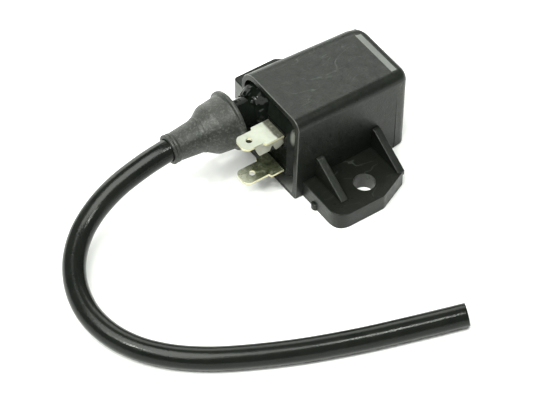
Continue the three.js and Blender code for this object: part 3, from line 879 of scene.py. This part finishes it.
def add_upper_terminal():
    blade = blade_plate("upper_terminal", UPPER_BLADE, "tin")
    paint_edges(blade)
    top = UPPER_BLADE["z"] + BLADE_THICKNESS / 2 - 0.1
    depth = WEB_DEPTH + BLADE_THICKNESS / 2 - 0.1
    back = WEB_BACK
    front = back - WEB_LENGTH
    notch = back - 4.9
    outline = [
        (front, top, 0.1),
        (front + 2.0, top - depth, 0.3),
        (notch - 0.7, top - depth, 0.2),
        (notch, top - depth + 1.6, 0.2),
        (notch + 0.6, top - depth + 1.6, 0.2),
        (notch + 1.5, top - depth - 0.9, 0.6),
        (back - 1.2, top - depth, 1.0),
        (back - 0.3, top - depth + 0.8, 0.6),
        (back, top - depth + 1.8, 0.8),
        (back - 1.1, top, 0.6),
    ]
    edge_x = UPPER_BLADE["x"] + UPPER_BLADE["width"] / 2
    inner_x = edge_x - BLADE_THICKNESS
    web = prism("web", rounded(outline, 5), facing_x, inner_x, edge_x + 0.02, ["web"])
    combine(blade, web, "UNION")
    soften(blade, 0.10)
    finish_piece(blade, "tin", "terminal_upper")


def add_lower_terminal():
    blade = blade_plate("lower_terminal", LOWER_BLADE, "tarnish")
    paint_edges(blade)
    soften(blade, 0.12)
    finish_piece(blade, "tarnish", "terminal_lower")


add_upper_terminal()
add_lower_terminal()


def resin_bead(name, blade, size):
    """The resin that creeps up round a blade's root."""
    half_x = blade["shoulder"] / 2
    half_z = BLADE_THICKNESS / 2
    corners = [(half_x, -half_z), (half_x, half_z), (-half_x, half_z), (-half_x, -half_z)]
    path = []
    for i, (x, z) in enumerate(corners):
        nx, nz = corners[(i + 1) % 4]
        parts = 26 if abs(nx - x) > 1 else 5
        path += [(x + (nx - x) * k / parts, z + (nz - z) * k / parts) for k in range(parts)]
    count = len(path)
    around = 12
    points = []
    for x, z in path:
        lump = size * (1 + 0.45 * noise.noise(Vector((x, z, size * 9)) * 1.4))
        out = Vector((x / half_x, z / half_z)).normalized()
        for k in range(around):
            angle = 2 * math.pi * k / around
            spread = lump * math.cos(angle)
            points.append(
                (
                    blade["x"] + x + out.x * spread * 0.5,
                    CARRIER_FACE - lump * 0.9 * math.sin(angle),
                    blade["z"] + z + out.y * spread,
                )
            )
    faces = []
    for i in range(count):
        for k in range(around):
            row = ((i + 1) % count) * around
            m = (k + 1) % around
            faces.append((i * around + k, i * around + m, row + m, row + k))
    bead = mesh_piece(name, points, faces, ["resin"])
    smooth(bead, math.radians(70))
    finish_piece(bead, "resin")


resin_bead("upper_resin_bead", UPPER_BLADE, 0.42)
resin_bead("lower_resin_bead", LOWER_BLADE, 0.38)

# ---------- high-tension outlet ----------
TOWER_X = -6.65
TOWER_Z = 21.3


def add_tower():
    profile = [
        (1.5, 7.8, 0.1),
        (1.5, -0.6, 0.1),
        (3.8, -0.6, 0.2),
        (3.8, -16.0, 0.2),
        (5.9, -16.0, 0.2),
        (6.4, -15.4, 0.3),
        (6.4, -12.6, 0.5),
        (4.8, -11.0, 0.5),
        (4.8, -2.0, 0.5),
        (5.8, -1.4, 0.3),
        (5.8, 7.8, 0.2),
    ]
    tower = lathe("outlet_tower", rounded(profile, 4), TOWER_X, TOWER_Z, ["tower"])
    finish_piece(tower, "tower", "ht_tower")


def lumpy(spot):
    """Drawn-up resin's uneven surface."""
    push = 0.35 * noise.noise(spot * 0.4) + 0.16 * noise.noise(spot * 0.9 + Vector((9, 2, 4)))
    push = max(push, -0.1)
    radial = Vector((spot.x, 0, spot.z)).normalized()
    return spot + radial * push + Vector((0, 0.5 * noise.noise(spot * 0.8), 0))


def add_collar():
    """Resin drawn up round the outlet where it leaves the potting."""
    profile = [
        (5.6, 2.2, 0.2),
        (5.6, -1.3, 0.2),
        (4.7, -2.1, 0.3),
        (5.0, -3.4, 0.3),
        (5.9, -2.6, 0.8),
        (6.9, -0.6, 0.8),
        (7.3, 0.9, 0.6),
        (7.5, 2.2, 0.2),
    ]
    collar = lathe(
        "outlet_resin_collar", rounded(profile, 5), TOWER_X, TOWER_Z, ["resin"], 110, lumpy
    )
    finish_piece(collar, "resin")


def uneven(spot):
    """Moulded rubber is slightly out of round."""
    push = 0.05 * noise.noise(spot * 0.35) + 0.02 * noise.noise(spot * 1.3)
    radial = Vector((spot.x, 0, spot.z)).normalized()
    return spot + radial * push


def add_boot():
    profile = [
        (3.62, -31.38, 0.15),
        (4.45, -31.38, 0.25),
        (4.68, -31.1, 0.2),
        (4.66, -30.55, 0.15),
        (4.40, -30.35, 0.1),
        (4.40, -30.15, 0.1),
        (4.62, -29.95, 0.15),
        (4.60, -29.45, 0.2),
        (4.42, -29.2, 0.2),
        (5.22, -21.3, 0.6),
        (5.62, -20.75, 0.3),
        (5.60, -20.3, 0.3),
        (7.75, -17.0, 0.9),
        (8.38, -11.1, 0.35),
        (8.75, -10.75, 0.2),
        (9.40, -10.55, 0.25),
        (9.42, -9.50, 0.3),
        (6.8, -9.50, 0.2),
        (6.8, -16.3, 0.5),
        (3.62, -19.5, 0.3),
    ]
    boot = lathe("rubber_boot", rounded(profile, 5), TOWER_X, TOWER_Z, ["rubber"], 128, uneven)
    finish_piece(boot, "rubber", "ht_boot")


add_tower()
add_collar()
add_boot()

# ---------- lead ----------
LEAD_RADIUS = 3.5
LEAD_REST_Z = 3.55
CUT_FACING = Vector((0.411, 0.896, 0.165))  # the far end is cut a little askew
CUT_EDGE = 0.12
JACKET, INSULATION, STRANDS = 0, 1, 2  # the lead's finishes
CUT_RINGS = [  # the cut face from its rim to its middle: a radius and the finish that leads to it
    (LEAD_RADIUS - CUT_EDGE, JACKET),
    (2.5, JACKET),
    (2.46, INSULATION),
    (1.05, INSULATION),
    (1.0, STRANDS),
    (0.02, STRANDS),
]
LEAD_ROUTE = [
    (TOWER_X, -5.6, TOWER_Z),
    (TOWER_X, -18, TOWER_Z),
    (TOWER_X, -31.4, TOWER_Z),
    (-6.8, -35.8, 20.5),
    (-7.1, -40.2, 19.1),
    (-7.2, -48.6, 16.0),
    (-5.8, -56.8, 12.6),
    (-2.1, -64.4, 9.8),
    (4.0, -70.6, 7.6),
    (11.8, -74.6, 5.9),
    (20.6, -76.1, 4.6),
    (29.4, -74.8, 3.8),
    (37.6, -71.2, LEAD_REST_Z),
    (44.7, -65.7, LEAD_REST_Z),
    (50.6, -58.9, LEAD_REST_Z),
    (55.5, -51.3, LEAD_REST_Z),
    (63.6, -35.3, LEAD_REST_Z),
    (70.3, -18.5, LEAD_REST_Z),
    (75.9, -1.5, LEAD_REST_Z),
    (80.3, 12.8, LEAD_REST_Z),
]


def smooth_line(route, per_span):
    """Centripetal Catmull-Rom points through a route."""
    knots = [Vector(point) for point in route]
    knots = [2 * knots[0] - knots[1]] + knots + [2 * knots[-1] - knots[-2]]
    made = []
    for a, b, c, d in zip(knots, knots[1:], knots[2:], knots[3:]):
        first, span, last = (math.sqrt((q - p).length) for p, q in ((a, b), (b, c), (c, d)))
        leave = ((b - a) / first - (c - a) / (first + span) + (c - b) / span) * span
        arrive = ((c - b) / span - (d - b) / (span + last) + (d - c) / last) * span
        for k in range(per_span):
            t = k / per_span
            made.append(
                b
                + leave * t
                + (3 * (c - b) - 2 * leave - arrive) * t**2
                + (2 * (b - c) + leave + arrive) * t**3
            )
    made.append(knots[-2])
    return made


def add_lead():
    line = smooth_line(LEAD_ROUTE, 10)
    sides = 48
    points = []
    side = Vector((1, 0, 0))
    last = len(line) - 1
    rows = []
    for i, spot in enumerate(line):
        along = (line[min(i + 1, last)] - line[max(i - 1, 0)]).normalized()
        side = (side - along * side.dot(along)).normalized()
        up = along.cross(side)
        rows.append((spot, along, side, up))
    sections = [(row, LEAD_RADIUS, JACKET) for row in rows[:-1]]
    spot, along, side, up = rows[-1]
    sections.append(((spot - along * CUT_EDGE, along, side, up), LEAD_RADIUS, JACKET))
    sections += [(rows[-1], radius, finish) for radius, finish in CUT_RINGS]
    for i, ((spot, along, side, up), radius, _) in enumerate(sections):
        for k in range(sides):
            angle = 2 * math.pi * k / sides
            out = radius * (math.cos(angle) * side + math.sin(angle) * up)
            if i >= last:
                out -= along * out.dot(CUT_FACING) / along.dot(CUT_FACING)
            points.append(tuple(spot + out))
    faces = []
    indices = []
    for i, (_, _, finish) in enumerate(sections[1:]):
        for k in range(sides):
            j = (k + 1) % sides
            faces.append((i * sides + k, i * sides + j, (i + 1) * sides + j, (i + 1) * sides + k))
            indices.append(finish)
    end = (len(sections) - 1) * sides
    faces += [tuple(range(sides)), tuple(range(end, end + sides))]
    indices += [JACKET, STRANDS]
    finishes = ["jacket", "insulation", "strands"]
    lead = mesh_piece("high_tension_lead", points, faces, finishes, indices)
    smooth(lead, math.radians(40))
    finish_piece(lead, "jacket", "ht_lead")
    path = [place(*spot) for spot in line]
    length = sum((b - a).length for a, b in zip(path, path[1:]))
    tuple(path[0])


add_lead()

# ---------- pieces inside the resin keep their solids ----------
INNER_FINISHES = {
    "core_pack": "steel",
    "primary_bobbin": "bobbin",
    "primary_winding": "copper",
    "primary_start": "copper",
    "primary_end": "copper",
    "insulation_sleeve": "tape",
    "secondary_bobbin": "bobbin",
    "secondary_winding": "copper",
    "secondary_return": "copper",
    "ht_link": "copper",
    "ht_contact": "brass",
}
for name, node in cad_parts.items():
    for start, finish in INNER_FINISHES.items():
        if name.startswith(start):
            node.data.materials.clear()
            node.data.materials.append(MATERIALS[finish])

# ---------- floor and light ----------
FLOOR_REACH = 2.5
WORLD_STRENGTH = 0.22
LIGHT_COLOR = (0.965, 1.0, 0.935)
LIGHT_AIM = Vector((0, 0, 0.012))
LIGHTS = {  # place and size in metres, power in watts
    "overhead": ((0.10, -0.40, 0.90), (0.8, 0.8), 18.4),
    "back_panel": ((-0.55, 0.42, 0.62), (0.55, 0.45), 3.2),
    "left_panel": ((-0.80, 0.05, 0.25), (0.5, 0.4), 3.0),
    "spark": ((0.05, -0.62, 0.72), (0.03, 0.03), 2.2),
    "lead_line": ((0.42, 0.09, 0.90), (0.07, 0.07), 3.0),
}


def add_floor():
    low = cad_box[0].z
    mesh = bpy.data.meshes.new("floor")
    near, far = -FLOOR_REACH, FLOOR_REACH
    corners = [(near, near, low), (far, near, low), (far, far, low), (near, far, low)]
    mesh.from_pydata(corners, [], [(0, 1, 2, 3)])
    mesh.materials.append(MATERIALS["floor"])
    floor = bpy.data.objects.new("floor", mesh)
    bpy.context.collection.objects.link(floor)


def add_light(name, spot, size, power):
    data = bpy.data.lights.new(name, "AREA")
    data.shape = "RECTANGLE"
    data.size, data.size_y = size
    data.energy = power
    data.color = LIGHT_COLOR
    light = bpy.data.objects.new(name, data)
    aim = LIGHT_AIM - Vector(spot)
    light.location = spot
    light.rotation_mode = "QUATERNION"
    light.rotation_quaternion = aim.to_track_quat("-Z", "Y")
    bpy.context.collection.objects.link(light)


def add_world():
    world = bpy.data.worlds.new("studio")
    world.use_nodes = True
    sky = world.node_tree.nodes["Background"]
    sky.inputs["Color"].default_value = (1, 1, 1, 1)
    sky.inputs["Strength"].default_value = WORLD_STRENGTH
    bpy.context.scene.world = world


add_floor()
add_world()
for light_name, (spot, size, power) in LIGHTS.items():
    add_light(light_name, spot, size, power)
bpy.context.scene.view_settings.view_transform = "Standard"
